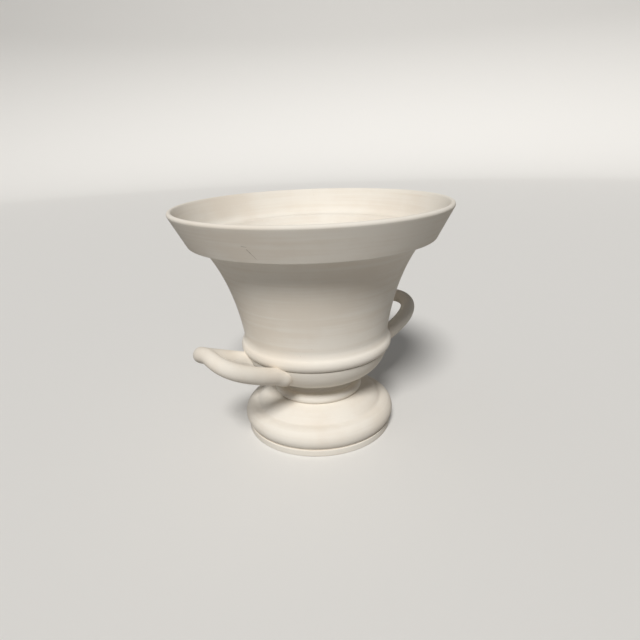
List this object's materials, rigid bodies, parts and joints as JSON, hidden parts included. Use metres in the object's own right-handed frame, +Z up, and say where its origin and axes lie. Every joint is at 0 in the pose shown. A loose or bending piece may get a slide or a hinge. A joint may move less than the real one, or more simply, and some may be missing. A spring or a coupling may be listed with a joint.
{
  "type": "trophy vase",
  "caption": "Flared bisque trophy vase on a turned pedestal foot, with an overhanging rim band, a collar bead and upswept loop handles.",
  "frame": {"origin": "centre of the plane that the foot rests on", "axes": "+Z up along the axis of the vase, +X and -X along the handles"},
  "size_m": [0.24, 0.24, 0.2084],
  "materials": {
    "bisque": "matt unglazed bisque"
  },
  "bodies": {
    "root": {"bowl": "bisque", "pedestal_foot": "bisque", "handle_right": "bisque", "handle_left": "bisque"}
  },
  "joints": []
}
